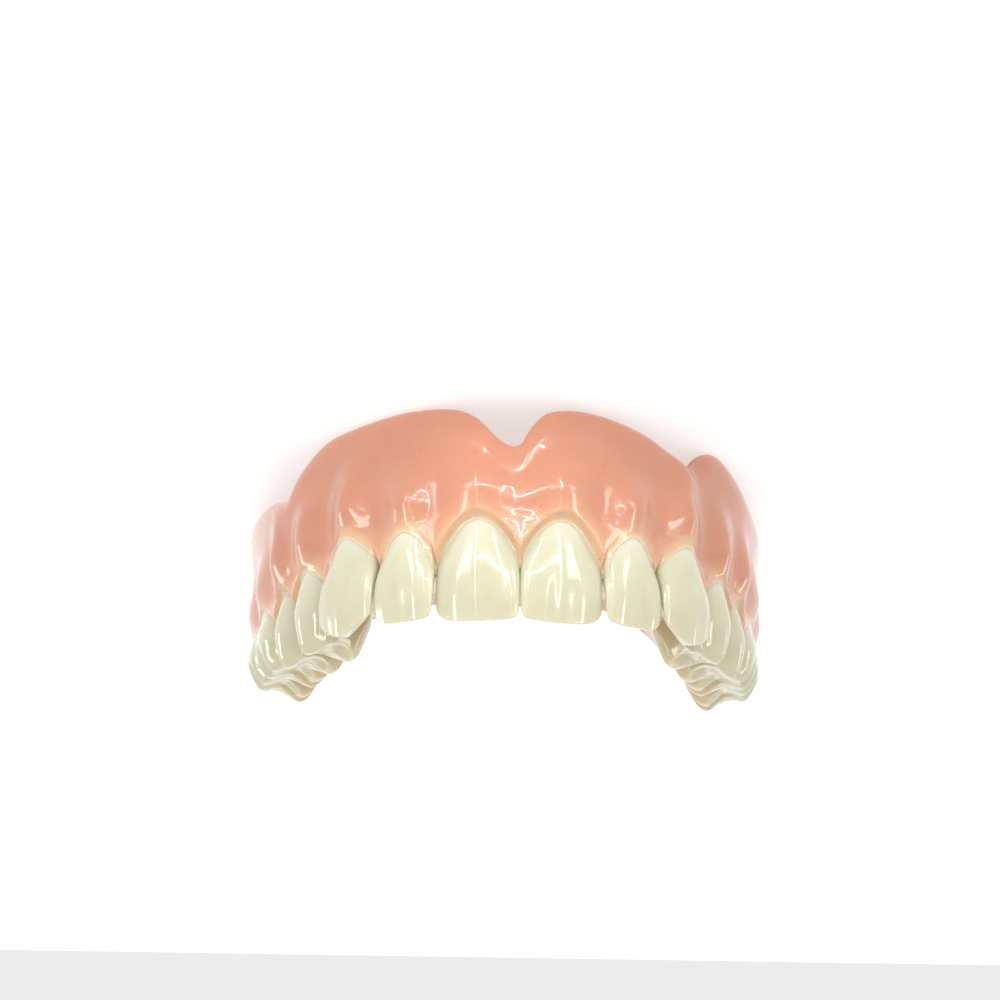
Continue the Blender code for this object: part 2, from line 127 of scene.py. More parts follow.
# How far the gum stands out from the crown at its margin, and how much further beyond it
LIP_START = 0.00006
LIP_GAIN = 0.00022
LIP_REACH = 0.0010
# How far a cut under the gum margin lies inside the crown, and inside the gum where there is none
SUNK_IN_CROWN = 0.0003
SUNK_IN_GUM = 0.0010

# Rounded rows that close each end of the base, and how its matt side fades out on them. They
# close on this share of the middle line's length
END_ROWS = 6
END_BULGE = 0.0008
END_CENTRE = 0.96
END_FADE = (1, 0.7, 0.3, 0.1, 0, 0, 0)
MERGE_DISTANCE = 0.000004


@dataclass
class Tooth:
    """One tooth of the right side.

    root says how far its root swells the gum, and how deep. roundness is that of the section of the
    crown, and widest is where the section is widest, from -1 at the back to 1 at the face.
    """

    name: str
    width: float
    crown: float
    seat: float
    root: tuple
    cusp_rows: int = 0
    tip_drop: float = 0.0
    face_drop: float = 0.0
    outset: float = 0.0
    sink: float = 0.0
    breadth: float = 1.0
    roundness: float = 0.55
    widest: float = 0.55


TEETH = (
    Tooth("central_incisor", 0.0087, 0.0107, 0.0018, (0.00060, 0.0085), outset=-0.0003),
    Tooth("lateral_incisor", 0.0068, 0.0096, 0.0022, (0.00075, 0.0085), outset=0.0004,
          sink=0.0003, breadth=0.90),
    Tooth("canine", 0.0079, 0.0109, 0.0016, (0.00110, 0.0120), tip_drop=0.0013, outset=0.0009,
          sink=-0.0003, breadth=1.08),
    Tooth("first_premolar", 0.0070, 0.0091, 0.0013, (0.00085, 0.0110), cusp_rows=1,
          outset=-0.0002, sink=-0.0002, breadth=0.92, roundness=0.85, widest=0.45),
    Tooth("second_premolar", 0.0068, 0.0086, 0.0015, (0.00080, 0.0100), cusp_rows=1,
          outset=-0.0005, sink=-0.0002, breadth=0.94, roundness=0.85, widest=0.45),
    Tooth("first_molar", 0.0098, 0.0078, 0.0020, (0.00065, 0.0090), cusp_rows=2,
          face_drop=0.0009, sink=0.0002, breadth=1.08, roundness=0.70, widest=0.3),
    Tooth("second_molar", 0.0092, 0.0075, 0.0022, (0.00050, 0.0080), cusp_rows=2,
          face_drop=0.0018, sink=0.0002, breadth=1.04, roundness=0.75, widest=0.3),
)
STARTS = np.concatenate(([0.0], np.cumsum([tooth.width for tooth in TEETH])))
CENTRES = (STARTS[:-1] + STARTS[1:]) / 2
ARCH_LENGTH = float(STARTS[-1])

# Share of the half width, and face and back of the crown, from the edge 0 to the gum line 1
FRONT_WIDTHS = ((0, 0.92), (0.08, 0.975), (0.2, 1.0), (0.45, 0.995), (0.62, 0.955), (0.8, 0.87),
                (1.0, 0.74), (1.2, 0.58))
BACK_WIDTHS = ((0, 0.88), (0.15, 0.97), (0.32, 1.0), (0.55, 0.97), (0.8, 0.90), (1.0, 0.82),
               (1.25, 0.72))
FRONT_FACE = ((0.0, 0.00035), (0.25, 0.00085), (0.5, 0.0011), (0.8, 0.00095), (1.0, 0.0005),
              (1.2, -0.0006))
BACK_FACE = ((0.0, 0.0009), (0.25, 0.0015), (0.45, 0.0018), (0.75, 0.0016), (1.0, 0.0012),
             (1.25, 0.0002))
FRONT_BACK = ((0.0, 0.15), (0.25, 0.35), (0.45, 0.55), (0.62, 0.81), (0.8, 0.97), (1.0, 1.0),
              (1.2, 0.87))
BACK_BACK = ((0.0, 0.81), (0.25, 0.92), (0.5, 1.0), (0.8, 0.95), (1.25, 0.79))
FRONT_FLANGE = ((0.0, 0.0005), (0.12, 0.0009), (0.35, 0.0011), (0.6, 0.0009), (0.85, 0.0013),
                (1.0, 0.0016))
BACK_FLANGE = ((0.0, 0.0012), (0.12, 0.0017), (0.35, 0.0021), (0.6, 0.0025), (0.85, 0.0032),
               (1.0, 0.0036))

# Forms of the crowns. The corner away from the middle of the mouth is the rounder one
CROWN_CUTS = 23
FULL_ROUNDNESS = 0.95
BACK_TAPER = 0.14
MOLAR_SPREAD = 0.74
FAR_CORNER = 0.0009
NEAR_CORNER = 0.0004
EDGE_SLOPE = 0.0003
BACK_SWELL = 0.0005
BOWL_DEPTH = 0.0010
CUSP_HEIGHTS = (0.0010, 0.0008)
FISSURE_DEPTH = 0.00022
LOBE_RELIEF = 0.00003
RIDGE_RELIEF = 0.00020
GROOVE_RELIEF = 0.00035

# Ivory from the biting edge 0 to the neck 1, painted lighter towards the neck as lit, and what is
# mixed over it: the mask, how far, and the colour. The lingual side gets painted shade and warm
# bounced light, and the fissures a darker brown
TOOTH_COLOURS = (
    (0.0, (0.50, 0.48, 0.33)), (0.10, (0.485, 0.47, 0.325)), (0.35, (0.485, 0.47, 0.325)),
    (0.70, (0.50, 0.485, 0.345)), (0.97, (0.56, 0.54, 0.42)))
TOOTH_PAINTED_SHADE_AND_FISSURES = (("inner", 0.45, (0.60, 0.45, 0.21)), ("fissure", 0.7, (0.50, 0.33, 0.11)))

# Pink from the crowns 0 to COVER_REACH 1, and its fibres: scale, thickness, seed and strength
GUM_COLOURS = (
    (0.0, (0.66, 0.50, 0.33)), (0.10, (0.59, 0.38, 0.22)), (0.40, (0.545, 0.265, 0.15)),
    (0.75, (0.515, 0.215, 0.125)), (1.0, (0.51, 0.21, 0.122)))
FIBRES = ((430, 0.018, 0.37, 0.36), (700, 0.021, 1.91, 0.28))
FIBRE_COLOUR = (0.52, 0.085, 0.075)

# Downward tilt, turn and roll of the camera in degrees, its place from ARCH_CENTRE, and its lens
CAMERA_ANGLES = (24.0519, 1.7738, 0.8517)
CAMERA_PLACE = (0.0052505, -0.1007235, 0.032121)
CAMERA_LENS = 38.78

# Ends of the narrow lamps that the gloss shows as fine lines, and the place they shine at
GLOSS_TARGET = (0, -0.02, 0.015)
GLOSS_FRAME = ((-0.014, -0.058, 0.002), (-0.042, -0.165, 0.002), (-0.042, -0.180, 0.070),
               (0.060, -0.180, 0.070), (0.060, -0.165, 0.002), (0.020, -0.058, 0.002))
GLOSS_LEGS = (((-0.014, -0.058, 0.002), (-0.006, -0.036, 0.002)),
              ((0.020, -0.058, 0.002), (0.009, -0.034, 0.002)))


def clamp(value):
    """The value, kept within 0 and 1."""
    return np.clip(value, 0.0, 1.0)


def ease(value):
    """A smooth step from 0 to 1 as the value goes from 0 to 1."""
    share = clamp(value)
    return share * share * (3 - 2 * share)


def mix(start, end, share):
    """The value at a share of the way from start to end."""
    return start + (end - start) * share


def bump(distance, reach):
    """A smooth hump: 1 at distance 0, and 0 from the reach on."""
    return np.cos(0.5 * np.pi * clamp(np.abs(distance) / reach)) ** 2


def soft_max(first, second, blend):
    """The larger of two values, with a rounded change from one to the other."""
    return 0.5 * (first + second + np.hypot(first - second, blend))


def curve(knots, place):
    """Smooth curve through (place, value) knots, read at an array of places."""
    x = np.array([k[0] for k in knots], float)
    y = np.array([k[1] for k in knots], float)
    slope = np.concatenate(([(y[1] - y[0]) / (x[1] - x[0])], (y[2:] - y[:-2]) / (x[2:] - x[:-2]),
                            [(y[-1] - y[-2]) / (x[-1] - x[-2])]))
    place = np.clip(place, x[0], x[-1])
    index = np.clip(np.searchsorted(x, place, side="right") - 1, 0, len(x) - 2)
    span = x[index + 1] - x[index]
    share = (place - x[index]) / span
    pull = slope[index] * span * share * (1 - share) ** 2
    pull += slope[index + 1] * span * (share - 1) * share ** 2
    return mix(y[index], y[index + 1], ease(share)) + pull


def arch_table():
    """Half spans, lengths and slopes along the line of the biting edges."""
    near = CANINE_SETBACK / CANINE_HALF_SPAN ** 2
    far = MOLAR_SETBACK / MOLAR_HALF_SPAN ** 2
    tail = (far - near) / (MOLAR_HALF_SPAN ** 4 - CANINE_HALF_SPAN ** 4)
    bend = near - tail * CANINE_HALF_SPAN ** 4
    x = np.linspace(0, ARCH_OVERRUN * MOLAR_HALF_SPAN, ARCH_STEPS)
    y = bend * x ** 2 + tail * x ** 6
    slope = 2 * bend * x + 6 * tail * x ** 5
    lengths = np.concatenate(([0.0], np.cumsum(np.hypot(np.diff(x), np.diff(y)))))
    return x, y, slope, lengths


ARCH_X, ARCH_Y, ARCH_SLOPE, ARCH_LENGTHS = arch_table()


def arch_point(place, outset, height):
    """Points that stand outset from the line, at a height over the biting plane."""
    x = np.interp(place, ARCH_LENGTHS, ARCH_X)
    y = np.interp(place, ARCH_LENGTHS, ARCH_Y)
    slope = np.interp(place, ARCH_LENGTHS, ARCH_SLOPE)
    size = np.hypot(slope, 1)
    place, outset, height = np.broadcast_arrays(place, outset, height)
    return np.stack((x + outset * slope / size, y - outset / size, height), axis=-1)


def over_centres(values, place):
    """Smooth curve through a value for each tooth, read at places along the arch."""
    return curve(tuple(zip(CENTRES, values)), place)


def gum_line(place):
    """Depth of the line that joins the necks of the teeth."""
    return over_centres([tooth.crown + tooth.sink for tooth in TEETH], place)


def half_width(tooth, level):
    """Half the width of a crown at some levels, 0 at the edge and 1 at the neck."""
    return tooth.width / 2 * curve(BACK_WIDTHS if tooth.cusp_rows else FRONT_WIDTHS, level)


def crown_face(tooth, level):
    """How far the face of a crown stands out at some levels."""
    return curve(BACK_FACE if tooth.cusp_rows else FRONT_FACE, level)


def crown_back(tooth, level):
    """How far the back of a crown lies inside at some levels, below 0."""
    if tooth.cusp_rows:
        return -TOOTH_INSET[1] * tooth.breadth * curve(BACK_BACK, level)
    return -TOOTH_INSET[0] * tooth.breadth * curve(FRONT_BACK, level)


def section(tooth, across, over, level):
    """Round the square -1..1 to a tooth's section."""
    in_front = over > tooth.widest
    from_widest = (over - tooth.widest) / np.where(in_front, 1 - tooth.widest, 1 + tooth.widest)
    roundness = np.where(in_front, mix(tooth.roundness, FULL_ROUNDNESS, ease(level)),
                         FULL_ROUNDNESS)
    taper = 1 - BACK_TAPER * np.maximum(0.0, -from_widest)
    round_x = across * taper * (1 - roundness * (1 - np.sqrt(1 - from_widest ** 2 / 2)))
    round_y = over * (1 - roundness * (1 - np.sqrt(1 - across ** 2 / 2)))
    return round_x, round_y


def front_top(tooth, across, over):
    """Height of a front tooth's edge, and no fissures."""
    corner = np.where(across > 0, FAR_CORNER, NEAR_CORNER)
    top = corner * across ** 4 + tooth.tip_drop * np.sqrt(across ** 2 + 0.01)
    return -(top + EDGE_SLOPE * (1 - over) / 2), 0 * across


def back_top(tooth, across, over):
    """Height of a back tooth's cusps and fissures, and how deep in a fissure a point is."""
    outward = clamp((np.abs(over) - 0.667) / 0.333)
    fissure = np.exp(-((over + 0.05 * np.sin(5 * across)) / 0.12) ** 2) * bump(across, 0.95)
    from_cusp = aside = np.abs(across)
    if tooth.cusp_rows == 2:
        from_cusp = np.where(aside < 1 / 3, 0.6 * bump(aside, 1 / 3), 1.5 * aside - 0.5)
        cross_way = np.exp(-((across + 0.14 * over) / 0.11) ** 2) * (1 - 0.4 * over ** 2)
        fissure = np.maximum(fissure, cross_way)
    bowl = BOWL_DEPTH * bump(over, 0.72) * (1 - 0.7 * across ** 4)
    shorter = tooth.face_drop * (1 + over) / 2
    top = bowl + shorter + CUSP_HEIGHTS[0] * outward ** 1.5 + CUSP_HEIGHTS[1] * from_cusp ** 1.5
    return -(top + FISSURE_DEPTH * fissure), fissure


def face_relief(tooth, across, level):
    """Soft lobes of a front tooth's face, or the ridges and groove of a back tooth's sides."""
    if tooth.cusp_rows == 0:
        return LOBE_RELIEF * np.cos(3.4 * np.pi * across) * bump(level - 0.25, 0.6)
    if tooth.cusp_rows == 1:
        return RIDGE_RELIEF * bump(across, 0.7) * bump(level - 0.1, 0.9)
    return -GROOVE_RELIEF * bump(across, 0.28) * bump(level, 0.65)


def tooth_points(index, cube):
    """Move the points of the cube -1..1 to the tooth, with their levels, fissures and side; the
    side is the mask of the painted shade on the lingual half.
    """
    tooth = TEETH[index]
    x, y, z = cube[:, 0], cube[:, 1], cube[:, 2]
    share = ((1 - z) / 2) ** 1.15
    total = tooth.crown + tooth.seat
    level = share * total / tooth.crown
    across, over = section(tooth, x, y, level)
    relief = face_relief(tooth, x, level)
    face = crown_face(tooth, level) + relief
    if tooth.cusp_rows:
        back = crown_back(tooth, level) - relief
        top, fissure = back_top(tooth, x, y)
    else:
        back = crown_back(tooth, level) + BACK_SWELL * bump(x, 0.8) * bump(level - 0.33, 0.3)
        top, fissure = front_top(tooth, x, y)
    height = top * (1 - share) ** 1.3 - share * total - tooth.sink
    spread = MOLAR_SPREAD if tooth.cusp_rows == 2 else 1.0
    along = half_width(tooth, level) * np.sign(across) * np.abs(across) ** spread
    out = mix(back, face, (1 + over) / 2) + tooth.outset
    fissure = fissure * (share < 0.001)
    # How far a point lies towards the lingual side: the mask for its painted shade and warm bounced
    # light
    inner = ease((0.5 - y) / 1.3)
    return arch_point(CENTRES[index] + along, out, height), level, fissure, inner


def select_nothing():
    """Clear the selection before an object is added or copied."""
    for obj in list(bpy.context.selected_objects):
        obj.select_set(False)


def write_attribute(mesh, name, values):
    """Give a mesh one value for each of its points, for the materials."""
    attribute = mesh.attributes.new(name, "FLOAT", "POINT")
    attribute.data.foreach_set("value", np.ascontiguousarray(values, np.float32).ravel())


def face_outwards():
    """Turn the faces of the active object outwards."""
    bpy.ops.object.mode_set(mode="EDIT")
    bpy.ops.mesh.select_all(action="SELECT")
    bpy.ops.mesh.normals_make_consistent(inside=False)
    bpy.ops.object.mode_set(mode="OBJECT")


def make_crown(index):
    """A tooth of the right side, shaped from a finely cut cube and smoothed once."""
    select_nothing()
    bpy.ops.mesh.primitive_cube_add(size=2)
    obj = bpy.context.active_object
    bpy.ops.object.mode_set(mode="EDIT")
    bpy.ops.mesh.subdivide(number_cuts=CROWN_CUTS)
    bpy.ops.object.mode_set(mode="OBJECT")
    mesh = obj.data
    cube = np.empty(len(mesh.vertices) * 3)
    mesh.vertices.foreach_get("co", cube)
    points, level, fissure, inner = tooth_points(index, cube.reshape(-1, 3))
    mesh.vertices.foreach_set("co", (points + ARCH_CENTRE).ravel())
    write_attribute(mesh, "neck", level)
    write_attribute(mesh, "fissure", fissure)
    write_attribute(mesh, "inner", inner)
    mesh.update()
    face_outwards()
    smoother = obj.modifiers.new("smooth", "SUBSURF")
    smoother.levels = smoother.render_levels = 1
    bpy.ops.object.modifier_apply(modifier=smoother.name)
    bpy.ops.object.shade_smooth()
    return obj


def finish_crown(obj, index, ending, material):
    """Name a crown and let it stand for the solid tooth of its side."""
    name = f"{TEETH[index].name}_{ending}"
    obj.name = name + "_crown"
    obj.data.materials.append(material)
    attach(obj, "root")
    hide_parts(name)


def mirrored_copy(obj):
    """Copy of a crown for the left side, with its own mesh."""
    select_nothing()
    copy = obj.copy()
    copy.data = obj.data.copy()
    bpy.context.scene.collection.objects.link(copy)
    bpy.context.view_layer.objects.active = copy
    copy.select_set(True)
    copy.data.transform(Matrix.Scale(-1, 4, (1, 0, 0)))
    face_outwards()
    return copy


def make_teeth(material):
    """All crowns: each is shaped for the right side and copied for the left."""
    for index in range(len(TEETH)):
        right = make_crown(index)
        left = mirrored_copy(right)
        finish_crown(right, index, "right", material)
        finish_crown(left, index, "left", material)


def face_outset(index, place, depth):
    """How far a tooth's face stands out at a place and depth, or far inside beside the tooth."""
    tooth = TEETH[index]
    level = (depth - tooth.sink) / tooth.crown
    across = np.abs(place - CENTRES[index]) / half_width(tooth, level)
    if tooth.cusp_rows == 2:
        across = across ** (1 / MOLAR_SPREAD)
    roundness = mix(tooth.roundness, FULL_ROUNDNESS, ease(level))
    corner = roundness * (1 - math.sqrt(0.5))
    flat = clamp(across / (1 - corner))
    over_face = 1 - roundness * (1 - np.sqrt(1 - flat ** 2 / 2))
    dip = clamp(1 - (1 - across) / roundness)
    from_widest = np.sqrt(np.maximum(0.0, 2 * (1 - dip ** 2)))
    over_side = mix(tooth.widest, 1, np.minimum(1, from_widest)) * (1 - corner)
    over = np.where(across < 1 - corner, over_face, over_side)
    out = mix(crown_back(tooth, level), crown_face(tooth, level), (1 + over) / 2) + tooth.outset
    return np.where(across > 1, NO_CROWN, out)


def margin_shape(index):
    """Depths of the deepest place of a tooth's gum margin and of its shoulders."""
    tooth = TEETH[index]
    zenith = tooth.crown + tooth.sink
    return zenith, zenith * SHOULDER_SHARES[1 if tooth.cusp_rows else 0]


def margin_distance(index, place, depth):
    """Rough distance outside the gum margin round a tooth, below 0 over the crown."""
    zenith, shoulder = margin_shape(index)
    rise = zenith - shoulder
    half = TEETH[index].width / 2
    across = np.abs(place - CENTRES[index]) / half
    down = np.maximum(0.0, depth - shoulder) / rise
    radius = (across ** ARCH_POWER + down ** ARCH_POWER + 1e-9) ** (1 / ARCH_POWER)
    return (radius - 1) * mix(half, rise, down / radius)


def margin_depth(place):
    """Depth of the gum margin at each place."""
    depth = np.zeros_like(place)
    for index, tooth in enumerate(TEETH):
        zenith, shoulder = margin_shape(index)
        across = np.abs(place - CENTRES[index]) / (tooth.width / 2)
        arc = shoulder + (zenith - shoulder) * clamp(1 - across ** ARCH_POWER) ** (1 / ARCH_POWER)
        depth = np.where(across <= 1, arc, depth)
    return depth


def tooth_wave(place):
    """1 at the middle of each tooth and -1 between two teeth."""
    wave = np.full_like(place, -1.0)
    for index, tooth in enumerate(TEETH):
        offset = place - CENTRES[index]
        wave = np.where(np.abs(offset) <= tooth.width / 2,
                        np.cos(2 * np.pi * offset / tooth.width), wave)
    return wave


def flange_outset(place, share):
    """How far the plain flange stands out, at shares of the way from the gum line to the border."""
    backward = ease((place - 0.3 * ARCH_LENGTH) / (0.3 * ARCH_LENGTH))
    outset = mix(curve(FRONT_FLANGE, share), curve(BACK_FLANGE, share), backward)
    ending = ease((place - 0.9 * ARCH_LENGTH) / (0.1 * ARCH_LENGTH + BASE_TAIL))
    return mix(outset, BORDER_OUTSET_END, ending ** 2)


def root_forms(place, down):
    """Swellings over the roots and hollows between them, at distances below the gum line."""
    form = np.zeros(np.broadcast(place, down).shape)
    for index, tooth in enumerate(TEETH):
        swell, reach = tooth.root
        offset = (place - CENTRES[index]) / (SWELL_SHARE * tooth.width)
        fade = ease((down + 0.0002) / 0.0035) * (1 - ease((down - 0.35 * reach) / (0.65 * reach)))
        form = form + swell * np.exp(-offset ** 2) * fade
    for start in STARTS:
        hollow = np.exp(-((place - start) / HOLLOW_WIDTH) ** 2)
        fade = ease(down / 0.0012) * (1 - ease((down - 0.003) / 0.007))
        form = form - HOLLOW_DEPTH * hollow * fade
    return form


def margin_roll(cover):
    """The rolled gum along a margin and the shallow groove beside it."""
    height, top, width = MARGIN_ROLL
    depth, bottom, groove_width = MARGIN_GROOVE
    return height * bump(cover - top, width) - depth * bump(cover - bottom, groove_width)


class BaseSections:
    """Sections of one half of the base, right 1 or left -1, at places along the arch.

    Depths run down from the biting plane, and points go from the middle of the palate over the gum
    and round the border to the tissue side.
    """

    PALATE_POINTS = 33
    LINGUAL_POINTS = 9
    BAND_POINTS = 7
    # The corners between these points are worn down, and these many points shade to the crowns
    WORN_POINTS = (26, 46)
    WEAR_TIMES = 14
    SHADED_POINTS = 14
    SUNK_POINTS = 9
    FACE_POINTS = 20
    ROLL_POINTS = 14
    WALL_POINTS = 9
    TROUGH_TURNS = 7
    RIDGE_POINTS = 30

    def __init__(self, place, side):
        self.place = place = place[:, None]
        tail_end = ARCH_LENGTH + BASE_TAIL
        self.along = place / tail_end
        self.backward = ease((place - 0.25 * ARCH_LENGTH) / (0.35 * ARCH_LENGTH))
        self.ending = ease((place - ARCH_LENGTH) / BASE_TAIL)
        self.border = curve(BORDER, place * side)
        ridge_end = BORDER[-1][1] - TAIL_LIP
        plate_end = ridge_end - PLATE_THICKNESS
        self.gum = mix(gum_line(place), plate_end + TAIL_ROUNDING, self.ending)
        crest_end = plate_end - TAIL_ROUNDING
        self.crest = mix(mix(*PAPILLA_DEPTH, self.backward), crest_end, self.ending)
        self.margin = mix(mix(*MARGIN_DEPTH, self.backward), plate_end, self.ending)
        self.inset = mix(*TOOTH_INSET, self.backward) + GUM_COLLAR
        self.ridge = mix(mix(*RIDGE_DEPTH, self.backward), ridge_end, self.ending)
        self.ridge_inset = mix(*RIDGE_INSET, self.ending)
        self.roll = np.minimum(BORDER_THICKNESS, ROLL_SHARE * (self.border - self.gum))
        end_y = arch_point(np.array([tail_end]), 0.0, 0.0)[0, 1]
        self.spine_y = mix(VAULT_START, end_y + VAULT_OVERRUN, self.along ** 1.5)
        drop = mix(VAULT_DROP[0], VAULT_DROP[1], ease(self.along / VAULT_TURN))
        drop = mix(drop, VAULT_DROP[2], ease((self.along - VAULT_TURN) / (1 - VAULT_TURN)))
        self.vault = mix(*MARGIN_DEPTH, self.backward) + drop

    def to_spine(self, inset, share):
        """Points from an inset of the line 0 to the middle plane 1, without their heights."""
        start = arch_point(self.place, -inset, 0.0)
        share = np.broadcast_to(share, (len(self.place), np.size(share)))[..., None]
        spine = np.zeros_like(start)
        spine[..., 1] = self.spine_y
        return mix(start, spine, share)

    def palate_depth(self, share):
        """Depth of the palate, from the gum behind the teeth 0 to the middle 1."""
        bend = mix(*PALATE_BEND, self.backward)
        return mix(self.margin, self.vault, 1 - (1 - clamp(share)) ** bend)

    def palate(self, share):
        """Points of the palate's polished side."""
        points = self.to_spine(self.inset, share)
        points[..., 2] = -self.palate_depth(share)
        return points

    def ridge_side(self, share):
        """Points of the tissue side, from the ridge's top to the middle of the palate."""
        points = self.to_spine(self.ridge_inset, share)
        edge = self.to_spine(self.inset, np.array([0.0]))
        spine = np.stack((0 * self.spine_y, self.spine_y, 0 * self.spine_y), axis=-1)
        far = np.linalg.norm(points - spine, axis=-1) / np.linalg.norm(edge - spine, axis=-1)
        low = -self.palate_depth(1 - far) - PLATE_THICKNESS
        low = low - SEAL_BEAD * bump(self.along - SEAL_PLACE, SEAL_REACH) * ease(share / 0.5)
        soft = mix(0.0010, 0.0001, self.ending)
        points[..., 2] = 0.5 * (low - self.ridge - np.hypot(low + self.ridge, soft))
        return points

    def outer_face(self, depth, over_crown):
        """Outer face of the gum at some depths, beside the crowns or sunk under them."""
        place = np.broadcast_to(self.place, depth.shape)
        share = clamp((depth - self.gum) / (self.border - self.gum))
        above = clamp((self.gum - depth) / (self.gum - self.crest))
        outset = flange_outset(place, share) - CREST_FALL * above ** 1.3
        cover = np.full(depth.shape, COVER_REACH)
        faces = np.full(depth.shape, NO_CROWN)
        for index in range(len(TEETH)):
            cover = np.minimum(cover, np.maximum(margin_distance(index, place, depth), 0))
            faces = np.maximum(faces, face_outset(index, place, depth))
        if over_crown:
            shaped = np.where(faces <= NO_CROWN, outset - SUNK_IN_GUM,
                              np.minimum(outset, faces - SUNK_IN_CROWN))
        else:
            lip = LIP_START + LIP_GAIN * (1 - np.exp(-cover / LIP_REACH))
            full = soft_max(outset, faces + lip, 0.0003)
            wrapped = np.maximum(faces, outset - 0.0009) + lip
            shaped = mix(wrapped, full, ease(cover / LIP_REACH)) + margin_roll(cover)
            shaped = shaped + root_forms(place, depth - self.gum)
        outset = mix(shaped, flange_outset(place, share), self.ending)
        return arch_point(place, outset, -depth), cover

    def polished_side(self):
        """Points from the middle of the palate over the gum behind the teeth to their band."""
        wave = PAPILLA_WAVE * tooth_wave(self.place) * (1 - self.ending)
        palate = self.palate((1 - np.linspace(0, 1, self.PALATE_POINTS + 1)[:-1]) ** 1.3)
        turn = np.linspace(0, np.pi / 2, self.LINGUAL_POINTS)
        out = -self.inset + LINGUAL_ROUNDING * (1 - np.cos(turn))
        height = mix(-self.margin, -self.crest, np.sin(turn)) - wave * np.sin(turn)
        lingual = arch_point(self.place, out, height)
        share = np.linspace(0, 1, self.BAND_POINTS + 1)[1:]
        face = flange_outset(np.broadcast_to(self.place, self.crest.shape), 0 * self.crest)
        out = mix(-self.inset + LINGUAL_ROUNDING, face - BAND_INSET, share)
        band = arch_point(self.place, out, -self.crest - wave * (1 - share))
        points = np.concatenate((palate, lingual, band), axis=1)
        start, end = self.WORN_POINTS
        points[:, start:end] = smoothed(points[:, start - 1:end + 1], self.WEAR_TIMES)
        beside = 0.1 * COVER_REACH
        far = self.PALATE_POINTS + self.LINGUAL_POINTS - self.SHADED_POINTS
        cover = np.concatenate((np.full(far, COVER_REACH),
                                np.linspace(COVER_REACH, beside, self.SHADED_POINTS),
                                np.full(self.BAND_POINTS, beside)))
        behind = ease((self.place - ARCH_LENGTH) / 0.0025)
        return points, mix(cover, COVER_REACH, behind)

    def outer_side(self):
        """Points of the outer face from the band of the teeth to where the border turns."""
        first = self.crest + 0.0002
        margin = np.maximum(mix(margin_depth(self.place), self.gum, self.ending), first + 0.0003)
        sunk = mix(first, margin - 0.00006, np.linspace(0, 1, self.SUNK_POINTS))
        last = self.border - self.roll
        halo_end = np.minimum(margin + HALO_DEPTH, mix(margin, last, 0.5))
        share = np.linspace(0, 1, self.FACE_POINTS)
        halo = mix(margin + 0.00001, halo_end, share ** 1.2)
        start = halo[:, -1:]
        rest = mix(start, np.maximum(last, start), share[1:])
        parts = (self.outer_face(sunk, True), self.outer_face(halo, False),
                 self.outer_face(rest, False))
        return tuple(np.concatenate(values, axis=1) for values in zip(*parts))

    def border_roll(self):
        """Points round the border, from the outer face to the tissue side."""
        last = self.border - self.roll
        share = (last - self.gum) / (self.border - self.gum)
        edge = flange_outset(self.place, share) + root_forms(self.place, last - self.gum)
        turn = np.linspace(0, np.pi, self.ROLL_POINTS + 1)[1:]
        wide = BORDER_THICKNESS / 2
        out = edge - wide + wide * np.cos(turn) + ROLL_BULGE * np.sin(turn)
        rise = np.where(turn < np.pi / 2, 1.0, ROLL_RISE) * (1 - np.sin(turn) ** 0.8)
        return arch_point(self.place, out, self.roll * rise - self.border)

    def trough(self):
        """Points of the groove that takes the ridge, from the border to the ridge's top."""
        start = self.border - ROLL_RISE * self.roll
        rise = np.minimum(TROUGH_ROUNDING, 0.6 * np.maximum(start - self.ridge, 0.0001))
        deep = self.ridge + rise
        down = mix(start, deep, np.linspace(0, 1, self.WALL_POINTS + 1)[1:])
        share = clamp((down - self.gum) / (self.border - self.gum))
        out = flange_outset(np.broadcast_to(self.place, down.shape), share) - BORDER_THICKNESS
        wall = arch_point(self.place, out, -down)
        turn = np.linspace(0, np.pi / 2, self.TROUGH_TURNS + 1)[1:-1]
        low = out[:, -1:]
        inner = np.minimum(-self.ridge_inset, low - 0.0006)
        rounding = arch_point(self.place, mix(low, inner, 1 - np.cos(turn)),
                              -mix(deep, self.ridge, np.sin(turn)))
        return np.concatenate((wall, rounding), axis=1)

    def shell(self):
        """All points of the sections, their values, and the point at which the border turns.

        The values are the distance from the crowns, and 1 on the tissue side.
        """
        polished, polished_cover = self.polished_side()
        outer, outer_cover = self.outer_side()
        roll = self.border_roll()
        ridge = self.ridge_side(np.linspace(0, 1, self.RIDGE_POINTS) ** 0.9)
        points = np.concatenate((polished, outer, roll, self.trough(), ridge), axis=1)
        seen = polished.shape[1] + outer.shape[1]
        far = np.full((len(points), points.shape[1] - seen), COVER_REACH)
        cover = np.concatenate((polished_cover, outer_cover, far), axis=1)
        turn = seen + roll.shape[1] // 2
        tissue = np.zeros(points.shape[:2])
        tissue[:, turn:] = 1
        return points, cover, tissue, turn


def smoothed(points, rounds):
    """Points with the corners between them worn down, without the first and last."""
    points = points.copy()
    for _ in range(rounds):
        points[:, 1:-1] = (points[:, :-2] + 2 * points[:, 1:-1] + points[:, 2:]) / 4
    return points[:, 1:-1]


def length_shares(points):
    """Share of the length of an open line at each of its points."""
    steps = np.linalg.norm(np.diff(points, axis=0), axis=1)
    return np.concatenate(([0.0], np.cumsum(steps))) / steps.sum()


def read_line(places, shares, points):
    """Points at some shares of an open line's length, given the share at each of its points."""
    return np.stack([np.interp(places, shares, points[:, axis]) for axis in range(3)], axis=-1)


